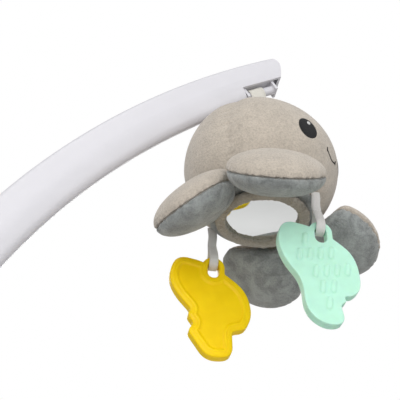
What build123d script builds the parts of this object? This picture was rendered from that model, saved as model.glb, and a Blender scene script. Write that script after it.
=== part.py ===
from build123d import *
from math import asin, atan2, cos, degrees, radians, sin, sqrt, tan
import os

# Toy bar of a baby bouncer seat: a curved hollow arm that plugs into the seat's side,
# with a plush dome toy hanging from a bar at its tip. The toy has four stuffed lobes,
# a round mirror in its belly and two silicone teethers on ribbon loops.
# Frame: origin where the arm's collar meets the seat, +Z up, +X towards the tip.

os.makedirs("parts", exist_ok=True)

# ---- arm: centre line of two arcs, in the XZ plane
lower_bend_radius = 220
lower_bend_turn = 30
upper_bend_radius = 535
end_heading = 24.5
# ---- arm: section
arm_width_base = 22
arm_width_tip = 20
arm_height_base = 39
arm_height_tip = 34
arm_rise = 19.5
taper_length = 120
arm_corner = 6
shell_wall = 2.3
tip_corner = 10
# ---- plug at the arm's lower end
collar_thickness = 3
stem_radius = 10
stem_length = 45
stem_flat = 1
stem_lead = 1.5
latch_radius = 3.5
latch_depth = 5
latch_drop = 25
tenon_height = 32
seat_clearance = 0.15
# ---- screws
screw_radius = 1.5
screw_head_radius = 2.8
screw_head_height = 1.8
screw_clearance = 0.05
boss_radius = 3.6
screw_stations = (18, 130, 250, 372)
screw_rise = 6
# ---- bar insert at the tip
hang_heading = 28.9
bar_depth = 10.9
bar_radius = 4
slot_height = 2
rail_thickness = 1.4
insert_width = 12
end_plate = 2.2
slot_back = 9
slot_front = 17.5
tongue_height = 7
tongue_width = 13
notch_gap = 1.4
notch_edge_above_bar = 4.9
tip_beyond_strap = 22
# ---- hanging strap
strap_width = 14
strap_thickness = 1
strap_clearance = 0.4
body_gap = 0.4
# ---- plush dome
dome_radius = 62
dome_drop = 88
skin = 1
belly_height = 44
front_azimuth = -20
face_azimuth = -40
seam_from_face = 107
eye_from_face = 27
eye_elevation = 2
eye_radius = 9.5
glint_radius = 2.6
glint_from_eye = 0.8
glint_above_eye = 4.5
stitch_height = 0.6
smile_half_width = 8
smile_sag = 3.4
smile_elevation = -10
smile_thread = 1.6
# ---- mirror in the belly
mirror_radius = 31.5
mirror_thickness = 1.5
backing_thickness = 1
ring_inner_radius = 29.3
ring_outer_radius = 36.5
ring_height = 7.5
ring_round = 2.8
# ---- lobes: (root azimuth, root radius, root height, heading, droop, twist), in degrees and mm
lobe_radius = 35
lobe_thickness = 34
lobe_root_inset = 6
lobe_roots = {
    "near": (-96, 46, -33, -95, 45, 0),
    "rear": (208, 40, -37, 196, 42, -7),
    "far": (74, 42, -38, 77, 26, 18),
    "front": (17, 39, -37, 9, 25, -4),
}
lobe_lift = 8
lobe_sink = 12
lobe_side_gap = 1.8
lobe_dome_gap = 1
# ---- ribbons and teethers
ribbon_width = 7
ribbon_thickness = 0.8
ribbon_drop = 27
ribbon_stitch_drop = 12
ribbon_top_gap = 0.5
stitch_thickness = 0.4
stitch_height_on_ribbon = 0.8
ribbon_root_radius = 46
ribbon_root_azimuths = {"mint": -41.5, "yellow": 138}
loop_clearance = 0.6
teether_thickness = 8
eyelet_width = 9
eyelet_height = 14
ear_wall = 4.5
bump_length = 10.5
bump_width = 3.6
bump_height = 1.2
bump_pitch = 7.9
bump_rise = 1.2


# ---------------------------------------------------------------- arm geometry
lower_length = radians(lower_bend_turn) * lower_bend_radius
shoulder_heading = 90 - lower_bend_turn
shoulder_x = lower_bend_radius * (1 - cos(radians(lower_bend_turn)))
shoulder_z = lower_bend_radius * sin(radians(lower_bend_turn))


def station_of(heading):
    """Distance along the centre line at which the upper arc has this heading."""
    return lower_length + radians(shoulder_heading - heading) * upper_bend_radius


def heading_at(station):
    if station < lower_length:
        return 90 - degrees(station / lower_bend_radius)
    return shoulder_heading - degrees((station - lower_length) / upper_bend_radius)


def arm_point(station):
    """Centre line point (x, z) at a distance along it from the collar."""
    heading = radians(heading_at(station))
    if station < lower_length:
        return lower_bend_radius * (1 - sin(heading)), lower_bend_radius * cos(heading)
    start = radians(shoulder_heading)
    x = shoulder_x + upper_bend_radius * (sin(start) - sin(heading))
    z = shoulder_z + upper_bend_radius * (cos(heading) - cos(start))
    return x, z


def arm_plane(station):
    """Cross-section plane: local x across the arm, local y towards its outer curve."""
    x, z = arm_point(station)
    heading = radians(heading_at(station))
    return Plane(origin=(x, 0, z), x_dir=(0, 1, 0), z_dir=(cos(heading), 0, sin(heading)))


def side_plane(x, z, heading):
    """Plane through (x, z) in the arm's own plane: local x along the arm, local y outwards."""
    along = (cos(radians(heading)), 0, sin(radians(heading)))
    return Plane(origin=(x, 0, z), x_dir=along, z_dir=(0, -1, 0))


arm_length = station_of(end_heading)
hang_station = station_of(hang_heading)
hang_line_x, hang_line_z = arm_point(hang_station)
hang_x = hang_line_x + bar_depth * sin(radians(hang_heading))
hang_z = hang_line_z - bar_depth * cos(radians(hang_heading))
tip_x = hang_x + tip_beyond_strap
bar_plane = side_plane(hang_x, hang_z, hang_heading)
section_stations = [arm_length * step / 10 for step in range(11)]


# Round corner where the arm's top meets its upright end: tangent to both
arc_centre_x = shoulder_x + upper_bend_radius * sin(radians(shoulder_heading))
arc_centre_z = shoulder_z - upper_bend_radius * cos(radians(shoulder_heading))
corner_reach = upper_bend_radius + arm_rise - tip_corner
corner_x = tip_x - tip_corner
corner_z = arc_centre_z + sqrt(corner_reach**2 - (corner_x - arc_centre_x) ** 2)
corner_heading = degrees(asin((arc_centre_x - corner_x) / corner_reach))


def arm_section(station, inset):
    """Outline of the arm: flat top with round corners and an elliptical underside."""
    share = min(max((station - (arm_length - taper_length)) / taper_length, 0), 1)
    ease = share * share * (3 - 2 * share)
    width = arm_width_base + (arm_width_tip - arm_width_base) * station / arm_length
    height = arm_height_base + (arm_height_tip - arm_height_base) * ease
    half = width / 2 - inset
    top = arm_rise - inset
    middle = arm_rise - height / 2
    corner = arm_corner - inset
    with BuildSketch() as section:
        with BuildLine():
            Line((half - corner, top), (corner - half, top))
            CenterArc((corner - half, top - corner), corner, 90, 90)
            Line((-half, top - corner), (-half, middle))
            EllipticalCenterArc((0, middle), half, height / 2 - inset, start_angle=180, arc_size=180)
            Line((half, middle), (half, top - corner))
            CenterArc((half - corner, top - corner), corner, 0, 90)
        make_face()
    return section.sketch


def arm_loft(inset):
    """The arm's whole length as one smooth bar, drawn in from its surface by the inset."""
    with BuildPart() as bar:
        for station in section_stations:
            with BuildSketch(arm_plane(station)):
                add(arm_section(station, inset))
        loft()
    return bar.part


with BuildPart() as arm_outer:
    add(arm_loft(0))
    with BuildSketch(side_plane(0, 0, 0)):
        with BuildLine():
            corner = CenterArc((corner_x, corner_z), tip_corner, 0, 90 + corner_heading)
            Polyline(corner @ 1, corner @ 1 + (corner % 1) * 2 * arm_length, (-2 * arm_length, -arm_length))
            Polyline((-2 * arm_length, -arm_length), (tip_x, -arm_length), corner @ 0)
        make_face()
    extrude(amount=arm_width_base, both=True, mode=Mode.INTERSECT)

with BuildPart() as arm_cavity:
    add(arm_loft(shell_wall))
    inner_tip = Plane(origin=(tip_x - shell_wall, 0, 0), z_dir=(1, 0, 0))
    split(bisect_by=inner_tip, keep=Keep.BOTTOM)
    with BuildSketch(bar_plane):
        with Locations((-slot_back - end_plate - notch_gap - shell_wall / 2, 0)):
            Rectangle(shell_wall, 4 * (notch_edge_above_bar + bar_radius))
    extrude(amount=arm_width_base, both=True, mode=Mode.SUBTRACT)

notch_start = -slot_back - end_plate - notch_gap


def screw_axis_plane(station):
    """Plane on the arm's mid-plane at a screw, facing the far side (+Y)."""
    x, z = arm_point(station)
    heading = radians(heading_at(station))
    return Plane(
        origin=(x - screw_rise * sin(heading), 0, z + screw_rise * cos(heading)),
        x_dir=(1, 0, 0),
        z_dir=(0, 1, 0),
    )


def half_shell(side):
    """One moulded half of the arm: side is -1 for the near (-Y) half, 1 for the far half."""
    with BuildPart() as half:
        add(arm_outer.part)
        add(arm_cavity.part, mode=Mode.SUBTRACT)
        with BuildSketch(bar_plane):
            with Locations((notch_start, notch_edge_above_bar)):
                Rectangle(taper_length, arm_height_base, align=(Align.MIN, Align.MAX))
        extrude(amount=arm_width_base, both=True, mode=Mode.SUBTRACT)
        split(bisect_by=Plane.XY.offset(collar_thickness), keep=Keep.TOP)
        for station in screw_stations[1:]:
            with BuildSketch(screw_axis_plane(station)):
                Circle(boss_radius)
            extrude(amount=side * (arm_width_tip / 2 - 1))
        split(bisect_by=Plane.XZ, keep=Keep.BOTTOM if side > 0 else Keep.TOP)
    return half.part


with BuildPart() as arm_shell_near:
    add(half_shell(-1))
    for station in screw_stations:
        with BuildSketch(screw_axis_plane(station)):
            Circle(screw_radius + screw_clearance)
        extrude(amount=-(arm_width_tip / 2 - shell_wall), mode=Mode.SUBTRACT)
arm_shell_near.part.label = "arm_shell_near"

head_seat = arm_width_tip / 2 - shell_wall

with BuildPart() as arm_shell_far:
    add(half_shell(1))
    for station in screw_stations:
        with BuildSketch(screw_axis_plane(station)):
            Circle(screw_radius + screw_clearance)
        extrude(amount=arm_width_base, mode=Mode.SUBTRACT)
        with BuildSketch(screw_axis_plane(station).offset(head_seat)):
            Circle(screw_head_radius + screw_clearance)
        extrude(amount=arm_width_base, mode=Mode.SUBTRACT)
arm_shell_far.part.label = "arm_shell_far"

with BuildPart() as shell_screws:
    for station in screw_stations:
        with BuildSketch(screw_axis_plane(station).offset(screw_clearance)):
            Circle(screw_radius)
        extrude(amount=head_seat)
        with BuildSketch(screw_axis_plane(station).offset(-head_seat + 1)):
            Circle(screw_radius)
        extrude(amount=head_seat)
        with BuildSketch(screw_axis_plane(station).offset(head_seat + screw_clearance)):
            Circle(screw_head_radius)
        extrude(amount=screw_head_height)
        with BuildSketch(screw_axis_plane(station).offset(head_seat + screw_head_height)):
            Rectangle(screw_head_radius, 0.8)
            Rectangle(0.8, screw_head_radius)
        extrude(amount=-screw_head_height / 2, mode=Mode.SUBTRACT)
shell_screws.part.label = "shell_screws"

with BuildPart() as tenon:
    add(arm_loft(shell_wall + seat_clearance))
    split(bisect_by=Plane.XY.offset(tenon_height), keep=Keep.BOTTOM)

with BuildPart() as base_stem:
    with BuildSketch(Plane.XY):
        Circle(stem_radius)
    extrude(amount=-stem_length)
    chamfer(faces().sort_by(Axis.Z)[0].edges(), stem_lead)
    with BuildSketch(Plane.XZ.offset(-stem_radius + stem_flat)):
        with Locations((0, -stem_length / 2)):
            Rectangle(2 * stem_radius, stem_length)
    extrude(amount=-stem_flat, mode=Mode.SUBTRACT)
    with BuildSketch(Plane.XZ.offset(-stem_radius + stem_flat)):
        with Locations((0, -latch_drop)):
            Circle(latch_radius)
    extrude(amount=latch_depth, mode=Mode.SUBTRACT)
    with BuildSketch(arm_plane(0)):
        add(arm_section(0, 0))
    extrude(amount=collar_thickness)
    add(tenon.part)
    with BuildSketch(screw_axis_plane(screw_stations[0])):
        Circle(screw_radius + screw_clearance)
    extrude(amount=arm_width_base, both=True, mode=Mode.SUBTRACT)
    with BuildSketch(screw_axis_plane(screw_stations[0]).offset(head_seat)):
        Circle(screw_head_radius + screw_clearance)
    extrude(amount=arm_width_base, mode=Mode.SUBTRACT)
base_stem.part.label = "base_stem"

# ---------------------------------------------------------------- bar insert and strap
rail_bottom = bar_radius + slot_height
rail_top = rail_bottom + rail_thickness
insert_back = -slot_back - end_plate
insert_front = slot_front + end_plate

with BuildPart() as strap_bar_insert:
    with BuildSketch(bar_plane):
        with BuildLine():
            Polyline(
                (insert_back, -bar_radius),
                (insert_front, -bar_radius),
                (insert_front, rail_top),
                (insert_back, rail_top),
                close=True,
            )
        make_face()
        with BuildLine():
            Polyline(
                (-slot_back, -2 * bar_radius),
                (slot_front, -2 * bar_radius),
                (slot_front, rail_bottom),
                (-slot_back, rail_bottom),
                close=True,
            )
        make_face(mode=Mode.SUBTRACT)
    extrude(amount=insert_width / 2, both=True)
    with BuildSketch(bar_plane):
        with Locations(((slot_front - slot_back) / 2, rail_top + tongue_height / 2)):
            Rectangle(slot_front, tongue_height)
    extrude(amount=tongue_width / 2, both=True)
    bar_direction = bar_plane.x_dir
    with BuildSketch(Plane(origin=bar_plane.origin - bar_direction * (slot_back + 1), z_dir=bar_direction)):
        Circle(bar_radius)
    extrude(amount=slot_front + slot_back + 2)
strap_bar_insert.part.label = "strap_bar_insert"

loop_inner = bar_radius + strap_clearance
loop_outer = loop_inner + strap_thickness
strap_bottom = hang_z - dome_drop + dome_radius + body_gap
slope = tan(radians(hang_heading))
loop_plane = Plane(
    origin=bar_plane.origin - bar_plane.x_dir * (strap_width / 2),
    x_dir=(0, 1, 0),
    z_dir=bar_plane.x_dir,
)

with BuildPart() as hanging_strap:
    with BuildSketch(loop_plane):
        Circle(loop_outer)
        with BuildLine():
            Polyline(
                (-loop_outer + 0.6, -2),
                (-strap_thickness, -loop_outer - 4),
                (strap_thickness, -loop_outer - 4),
                (loop_outer - 0.6, -2),
                close=True,
            )
        make_face()
        Circle(loop_inner, mode=Mode.SUBTRACT)
    extrude(amount=strap_width)
    with BuildSketch(Plane.XZ):
        with BuildLine():
            Polyline(
                (hang_x - strap_width / 2, strap_bottom),
                (hang_x + strap_width / 2, strap_bottom),
                (hang_x + strap_width / 2, hang_z + strap_width / 2 * slope - loop_outer - 2),
                (hang_x - strap_width / 2, hang_z - strap_width / 2 * slope - loop_outer - 2),
                close=True,
            )
        make_face()
    extrude(amount=strap_thickness, both=True)
hanging_strap.part.label = "hanging_strap"

# ---------------------------------------------------------------- plush dome
dome_centre = Vector(hang_x, 0, hang_z - dome_drop)
dome_plane = Plane(dome_centre)
belly_plane = dome_plane.offset(-belly_height)
belly_radius = sqrt(dome_radius**2 - belly_height**2) - seat_clearance


def dome_ball(radius):
    """Ball about the dome's centre, cut off level above the belly panel."""
    with BuildPart() as ball:
        with Locations(dome_centre):
            Sphere(radius)
        split(bisect_by=belly_plane.offset(skin + seat_clearance), keep=Keep.TOP)
    return ball.part


def dome_panel(start, sweep):
    """One fabric gore of the dome, between the seams at two angles about its axis."""
    reach = 2 * dome_radius
    with BuildPart() as panel:
        add(dome_ball(dome_radius))
        with Locations(dome_centre):
            Sphere(dome_radius - skin, mode=Mode.SUBTRACT)
        with BuildSketch(dome_plane.offset(-dome_radius)):
            with BuildLine():
                rim = CenterArc((0, 0), reach, start, sweep)
                Line((0, 0), rim @ 0)
                Line(rim @ 1, (0, 0))
            make_face()
        extrude(amount=2 * dome_radius, mode=Mode.INTERSECT)
    return panel.part


rear_sweep = 180 - seam_from_face

with BuildPart() as dome_front_panel:
    add(dome_panel(front_azimuth - seam_from_face, 2 * seam_from_face))
dome_front_panel.part.label = "dome_front_panel"

with BuildPart() as dome_rear_panel_near:
    add(dome_panel(front_azimuth - 180, rear_sweep))
dome_rear_panel_near.part.label = "dome_rear_panel_near"

with BuildPart() as dome_rear_panel_far:
    add(dome_panel(front_azimuth + seam_from_face, rear_sweep))
dome_rear_panel_far.part.label = "dome_rear_panel_far"

with BuildPart() as dome_stuffing:
    add(dome_ball(dome_radius - skin - seat_clearance))
dome_stuffing.part.label = "dome_stuffing"

with BuildPart() as belly_panel:
    with BuildSketch(belly_plane):
        Circle(belly_radius)
    extrude(amount=skin)
belly_panel.part.label = "belly_panel"


def face_plane(azimuth, elevation):
    """Plane through the dome's centre whose normal points out at the given angles."""
    a = radians(azimuth)
    e = radians(elevation)
    return Plane(
        origin=dome_centre,
        x_dir=(-sin(a), cos(a), 0),
        z_dir=(cos(a) * cos(e), sin(a) * cos(e), sin(e)),
    )


def trim_to_skin(level):
    """Keep only the embroidery's thickness on the dome, level being the layers under it."""
    with Locations(dome_centre):
        Sphere(dome_radius + (level + 1) * stitch_height, mode=Mode.INTERSECT)
        Sphere(dome_radius + level * stitch_height, mode=Mode.SUBTRACT)


def eye_disc(side, offset, radius, level):
    """Embroidered disc on one eye: side is -1 near, 1 far, level the layers under it."""
    with BuildPart() as disc:
        with BuildSketch(face_plane(face_azimuth + side * eye_from_face, eye_elevation)):
            with Locations(offset):
                Circle(radius)
        extrude(amount=2 * dome_radius)
        trim_to_skin(level)
    return disc.part


glint_offset = (glint_from_eye, glint_above_eye)

with BuildPart() as eye_near:
    add(eye_disc(-1, (0, 0), eye_radius, 0))
eye_near.part.label = "eye_near"

with BuildPart() as eye_far:
    add(eye_disc(1, (0, 0), eye_radius, 0))
eye_far.part.label = "eye_far"

with BuildPart() as glint_near:
    add(eye_disc(-1, glint_offset, glint_radius, 1))
glint_near.part.label = "glint_near"

with BuildPart() as glint_far:
    add(eye_disc(1, glint_offset, glint_radius, 1))
glint_far.part.label = "glint_far"

smile_radius = (smile_half_width**2 + smile_sag**2) / (2 * smile_sag)
smile_half_angle = degrees(asin(smile_half_width / smile_radius))

with BuildPart() as smile_stitch:
    with BuildSketch(face_plane(face_azimuth, smile_elevation)):
        with BuildLine():
            curve = CenterArc((0, smile_radius), smile_radius, 270 - smile_half_angle, 2 * smile_half_angle)
        SlotArc(curve, smile_thread)
    extrude(amount=2 * dome_radius)
    trim_to_skin(0)
smile_stitch.part.label = "smile_stitch"

# ---------------------------------------------------------------- mirror
with BuildPart() as mirror_backing:
    with BuildSketch(belly_plane.offset(-seat_clearance)):
        Circle(mirror_radius)
    extrude(amount=-backing_thickness)
mirror_backing.part.label = "mirror_backing"

mirror_top = belly_plane.offset(-2 * seat_clearance - backing_thickness)

with BuildPart() as mirror_disc:
    with BuildSketch(mirror_top):
        Circle(mirror_radius)
    extrude(amount=-mirror_thickness)
mirror_disc.part.label = "mirror_disc"

pocket_depth = 3 * seat_clearance + backing_thickness + mirror_thickness

with BuildPart() as mirror_ring:
    with BuildSketch(belly_plane.offset(-0.05)):
        Circle(ring_outer_radius)
        Circle(ring_inner_radius, mode=Mode.SUBTRACT)
    extrude(amount=-ring_height)
    fillet(faces().sort_by(Axis.Z)[0].edges(), ring_round)
    with BuildSketch(belly_plane):
        Circle(mirror_radius + seat_clearance)
    extrude(amount=-pocket_depth, mode=Mode.SUBTRACT)
mirror_ring.part.label = "mirror_ring"


# ---------------------------------------------------------------- lobes
def direction(azimuth, droop):
    a = radians(azimuth)
    d = radians(droop)
    return Vector(cos(a) * cos(d), sin(a) * cos(d), -sin(d))


def lobe_root(name):
    azimuth, radius, height, _, _, _ = lobe_roots[name]
    return dome_centre + Vector(radius * cos(radians(azimuth)), radius * sin(radians(azimuth)), height)


def lobe_axis(name):
    """Level hinge line through the root: a positive turn lifts the lobe."""
    heading = radians(lobe_roots[name][3])
    return Axis(lobe_root(name), (sin(heading), -cos(heading), 0))


def lobe_plane(name):
    """Plane of the lobe's seam: local x points out from the root, local z is its top side."""
    _, _, _, heading, droop, twist = lobe_roots[name]
    out = direction(heading, droop)
    centre = lobe_root(name) + out * (lobe_radius - lobe_root_inset)
    across = Vector(-sin(radians(heading)), cos(radians(heading)), 0)
    top = out.cross(across).rotate(Axis((0, 0, 0), out), twist)
    return Plane(origin=centre, x_dir=out, z_dir=top)


def cushion(name, inset):
    """Two domed faces meeting along the lobe's seam, drawn in from the surface by the inset."""
    plane = lobe_plane(name)
    half = lobe_thickness / 2
    face_radius = (lobe_radius**2 + half**2) / (2 * half)
    with BuildPart() as lens:
        with Locations(plane.offset(half - face_radius)):
            Sphere(face_radius - inset)
        with Locations(plane.offset(face_radius - half)):
            Sphere(face_radius - inset, mode=Mode.INTERSECT)
    return lens.part


def dome_planes(name):
    """Tangent planes of the dome at the root, as the lobe meets them over its travel."""
    hinge = lobe_axis(name)
    turning = Axis((0, 0, 0), hinge.direction)
    outward = (lobe_root(name) - dome_centre).normalized()
    touch = dome_centre + outward * (dome_radius + lobe_dome_gap) - hinge.position
    return [
        Plane(origin=hinge.position + touch.rotate(turning, turn), z_dir=outward.rotate(turning, turn))
        for turn in (-lobe_lift, lobe_sink)
    ]


def lobe_azimuth(name):
    """Direction of the lobe's middle about the dome's axis."""
    away = lobe_plane(name).origin - dome_centre
    return degrees(atan2(away.Y, away.X)) % 360


ring_order = sorted(lobe_roots, key=lobe_azimuth)


def side_planes(name):
    """Upright planes half-way to the two neighbouring lobes, a little on this lobe's side."""
    place = ring_order.index(name)
    own = lobe_azimuth(name)
    planes = []
    for step in (-1, 1):
        other = lobe_azimuth(ring_order[(place + step) % len(ring_order)])
        apart = (step * (other - own)) % 360
        half_way = radians(own + step * apart / 2)
        towards = Vector(-sin(half_way), cos(half_way), 0) * step
        planes.append(Plane(origin=dome_centre - towards * lobe_side_gap, z_dir=towards))
    return planes


def lobe_solid(name, outer_inset, inner_inset=None):
    """Cushion, or its skin when an inner inset is given, trimmed to its free space."""
    with BuildPart() as solid:
        add(cushion(name, outer_inset))
        for tangent in dome_planes(name):
            split(bisect_by=tangent, keep=Keep.TOP)
        for side in side_planes(name):
            split(bisect_by=side, keep=Keep.BOTTOM)
        if inner_inset:
            add(cushion(name, inner_inset), mode=Mode.SUBTRACT)
    return solid.part


for name in lobe_roots:
    with BuildPart() as lobe_top_panel:
        add(lobe_solid(name, 0, skin))
        split(bisect_by=lobe_plane(name), keep=Keep.TOP)
    lobe_top_panel.part.label = f"lobe_{name}_top_panel"
    export_step(lobe_top_panel.part, f"parts/lobe_{name}_top_panel.step")

    with BuildPart() as lobe_under_panel:
        add(lobe_solid(name, 0, skin))
        split(bisect_by=lobe_plane(name), keep=Keep.BOTTOM)
    lobe_under_panel.part.label = f"lobe_{name}_under_panel"
    export_step(lobe_under_panel.part, f"parts/lobe_{name}_under_panel.step")

    with BuildPart() as lobe_stuffing:
        add(lobe_solid(name, skin + seat_clearance))
    lobe_stuffing.part.label = f"lobe_{name}_stuffing"
    export_step(lobe_stuffing.part, f"parts/lobe_{name}_stuffing.step")


# ---------------------------------------------------------------- ribbons and teethers
ear_sag = eyelet_width / 2 - sqrt((eyelet_width / 2) ** 2 - (ribbon_width / 2) ** 2)
ear_swing_radius = sqrt((teether_thickness / 2) ** 2 + (ear_wall / 2 + ear_sag) ** 2)
ring_inner = ear_swing_radius + loop_clearance
ring_outer = ring_inner + ribbon_thickness
ear_from_eyelet = (eyelet_height + ear_wall) / 2


def ribbon_root(name):
    azimuth = radians(ribbon_root_azimuths[name])
    offset = Vector(ribbon_root_radius * cos(azimuth), ribbon_root_radius * sin(azimuth), 0)
    return dome_centre + offset - Vector(0, 0, belly_height + ribbon_top_gap)


def ribbon_plane(name):
    """Upright plane across the ribbon, centred on the ear it holds: local x is +Y."""
    ear = ribbon_root(name) - Vector(0, 0, ribbon_drop)
    return Plane(origin=ear, x_dir=(0, 1, 0), z_dir=(1, 0, 0))


def ribbon_loop(name):
    """Folded ribbon: two layers down to the cross stitch, then a loop round the ear."""
    stitch_level = ribbon_drop - ribbon_stitch_drop
    with BuildPart() as loop:
        with BuildSketch(ribbon_plane(name)):
            Circle(ring_outer)
            with BuildLine():
                Polyline(
                    (-ring_outer, 0),
                    (-ribbon_thickness, stitch_level),
                    (ribbon_thickness, stitch_level),
                    (ring_outer, 0),
                    close=True,
                )
            make_face()
            with Locations((0, ribbon_drop - ribbon_stitch_drop / 2)):
                Rectangle(2 * ribbon_thickness, ribbon_stitch_drop)
            Circle(ring_inner, mode=Mode.SUBTRACT)
            with BuildLine():
                Polyline((-ring_inner, 0), (0, stitch_level - ring_inner / 2), (ring_inner, 0), close=True)
            make_face(mode=Mode.SUBTRACT)
        extrude(amount=ribbon_width / 2, both=True)
    return loop.part


def cross_stitch(name):
    """Bar of thread on each face of the doubled ribbon."""
    level = ribbon_drop - ribbon_stitch_drop + 1
    reach = ribbon_thickness + stitch_thickness / 2
    with BuildPart() as stitch:
        with BuildSketch(ribbon_plane(name)):
            with Locations((-reach, level), (reach, level)):
                Rectangle(stitch_thickness, stitch_height_on_ribbon)
        extrude(amount=ribbon_width / 2 - 0.5, both=True)
    return stitch.part


def teether_plane(name):
    """Middle plane of the teether, centred on its eyelet: local x is +X, facing -Y."""
    eyelet = ribbon_root(name) - Vector(0, 0, ribbon_drop + ear_from_eyelet)
    return Plane(origin=eyelet, x_dir=(1, 0, 0), z_dir=(0, -1, 0))


def soft_outline(corners):
    """Closed outline whose corners curve over a reach, at most to the middles of their sides."""
    spots = [Vector(x, y) for x, y, reach in corners]
    with BuildLine() as outline:
        ends = []
        for place, (x, y, reach) in enumerate(corners):
            spot = spots[place]
            sides = [spots[place - 1] - spot, spots[(place + 1) % len(spots)] - spot]
            start, end = [spot + side.normalized() * min(reach, side.length / 2) for side in sides]
            Bezier(start, spot, end)
            ends.append((start, end))
        for place, (start, end) in enumerate(ends):
            previous = ends[place - 1][1]
            if (start - previous).length > 0.05:
                Line(previous, start)
    return outline.line


def teether_body(name, corners, bump_rows, facing):
    """Silicone plate with an ear round its eyelet and rows of bumps on one face."""
    plane = teether_plane(name)
    with BuildPart() as plate:
        with BuildSketch(plane):
            with BuildLine():
                add(soft_outline(corners))
            make_face()
            SlotOverall(eyelet_height + 2 * ear_wall, eyelet_width + 2 * ear_wall, rotation=90)
            SlotOverall(eyelet_height, eyelet_width, rotation=90, mode=Mode.SUBTRACT)
        extrude(amount=teether_thickness / 2, both=True)
        with BuildSketch(plane.offset(facing * teether_thickness / 2)):
            for x, y, count in bump_rows:
                with Locations([(x + k * bump_pitch, y + k * bump_rise) for k in range(count)]):
                    SlotOverall(bump_length, bump_width, rotation=80)
        extrude(amount=facing * bump_height)
    return plate.part


# Corners of the two silhouettes from the eyelet's centre: (x, y, reach of the rounding)
mint_corners = [
    (-28, 10.5, 99), (-9, 7, 5), (9.5, -3, 6), (24.5, -16, 99), (27, -42, 99), (20, -50.5, 99),
    (12.5, -51, 2.5), (14.2, -55.5, 2), (9.5, -58, 2.5), (12, -73, 99), (-3, -75.5, 99), (-16.5, -64, 99),
    (-16.5, -40, 99), (-29, -24, 99), (-34, -6, 99),
]
yellow_corners = [
    (-29, 11, 99), (-10, 7.5, 5), (9, -3, 6), (25, -16, 99), (30, -36, 99), (24.5, -50.5, 99),
    (13.5, -52.5, 4), (14, -74, 9), (-6, -75.5, 9), (-20, -54.5, 3), (-15.5, -48, 2.5),
    (-20.5, -41, 3), (-17.5, -36.5, 4), (-31, -21, 99), (-35.5, -6, 99),
]
mint_bump_rows = [(-12.5, -5.5, 1), (-17.5, -19.5, 4), (-6.5, -32.5, 4), (-2.5, -45, 2), (1, -58, 1)]
yellow_bump_rows = [(-20, -8, 1), (-21, -21, 4), (-11, -34, 4), (-9, -47.5, 2), (-1, -58, 1)]

with BuildPart() as ribbon_mint:
    add(ribbon_loop("mint"))
ribbon_mint.part.label = "ribbon_mint"

with BuildPart() as ribbon_yellow:
    add(ribbon_loop("yellow"))
ribbon_yellow.part.label = "ribbon_yellow"

with BuildPart() as ribbon_mint_stitch:
    add(cross_stitch("mint"))
ribbon_mint_stitch.part.label = "ribbon_mint_stitch"

with BuildPart() as ribbon_yellow_stitch:
    add(cross_stitch("yellow"))
ribbon_yellow_stitch.part.label = "ribbon_yellow_stitch"

with BuildPart() as teether_mint:
    add(teether_body("mint", mint_corners, mint_bump_rows, 1))
teether_mint.part.label = "teether_mint"

with BuildPart() as teether_yellow:
    add(teether_body("yellow", yellow_corners, yellow_bump_rows, -1))
teether_yellow.part.label = "teether_yellow"

# ---------------------------------------------------------------- files
for piece in (
    arm_shell_near, arm_shell_far, shell_screws, base_stem, strap_bar_insert, hanging_strap,
    dome_front_panel, dome_rear_panel_near, dome_rear_panel_far, dome_stuffing, belly_panel,
    eye_near, eye_far, glint_near, glint_far, smile_stitch,
    mirror_backing, mirror_disc, mirror_ring,
    ribbon_mint, ribbon_yellow, ribbon_mint_stitch, ribbon_yellow_stitch,
    teether_mint, teether_yellow,
):
    export_step(piece.part, f"parts/{piece.part.label}.step")
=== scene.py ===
from math import atan2, cos, degrees, pi, radians, sin

import bmesh
import bpy
import numpy as np
from bpy.props import FloatProperty, FloatVectorProperty, PointerProperty
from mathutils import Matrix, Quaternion, Vector
from mathutils.bvhtree import BVHTree
from mathutils.kdtree import KDTree


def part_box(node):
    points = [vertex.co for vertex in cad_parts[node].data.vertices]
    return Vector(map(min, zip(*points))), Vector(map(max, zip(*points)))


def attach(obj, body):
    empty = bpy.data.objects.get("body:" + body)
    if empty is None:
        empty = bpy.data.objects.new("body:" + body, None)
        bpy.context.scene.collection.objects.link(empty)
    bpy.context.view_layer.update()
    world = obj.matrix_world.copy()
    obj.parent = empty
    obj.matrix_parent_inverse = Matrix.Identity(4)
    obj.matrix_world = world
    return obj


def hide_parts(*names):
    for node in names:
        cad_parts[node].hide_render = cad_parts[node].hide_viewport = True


bl_info = {
    "name": "Bouncer toy bar",
    "version": (1, 0, 0),
    "blender": (4, 5, 0),
    "location": "3D View > Sidebar > Toy bar",
    "description": "Plush dome toy with teethers hanging from the toy bar of a bouncer seat",
    "category": "Object",
}

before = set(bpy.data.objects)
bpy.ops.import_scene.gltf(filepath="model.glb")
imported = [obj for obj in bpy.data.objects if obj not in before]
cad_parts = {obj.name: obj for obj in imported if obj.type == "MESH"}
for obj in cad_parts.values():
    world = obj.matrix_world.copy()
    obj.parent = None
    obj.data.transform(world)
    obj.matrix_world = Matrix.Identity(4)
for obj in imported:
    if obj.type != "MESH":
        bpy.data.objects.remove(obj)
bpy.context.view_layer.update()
MM = 0.001
LOBES = ("near", "rear", "far", "front")
RIBBONS = ("mint", "yellow")

# Points of the toy in millimetres: the bar the strap hangs on, and the middle of the plush dome
HANG = np.array([239.51, 0.0, 301.33])
BAR_WAY = np.array([0.87546, 0.0, 0.48328])
DOME = np.array([239.51, 0.0, 213.33])
# Degrees about the dome's upright axis: its flatter front, the face's middle, the eyes from there, seams
FRONT_AZIMUTH = -20.0
FACE_AZIMUTH = -40.0
EYE_ANGLES = {"near": -26.5, "far": 26.5}
SEAM_AZIMUTHS = (-127.0, 87.0, 160.0)
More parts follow.
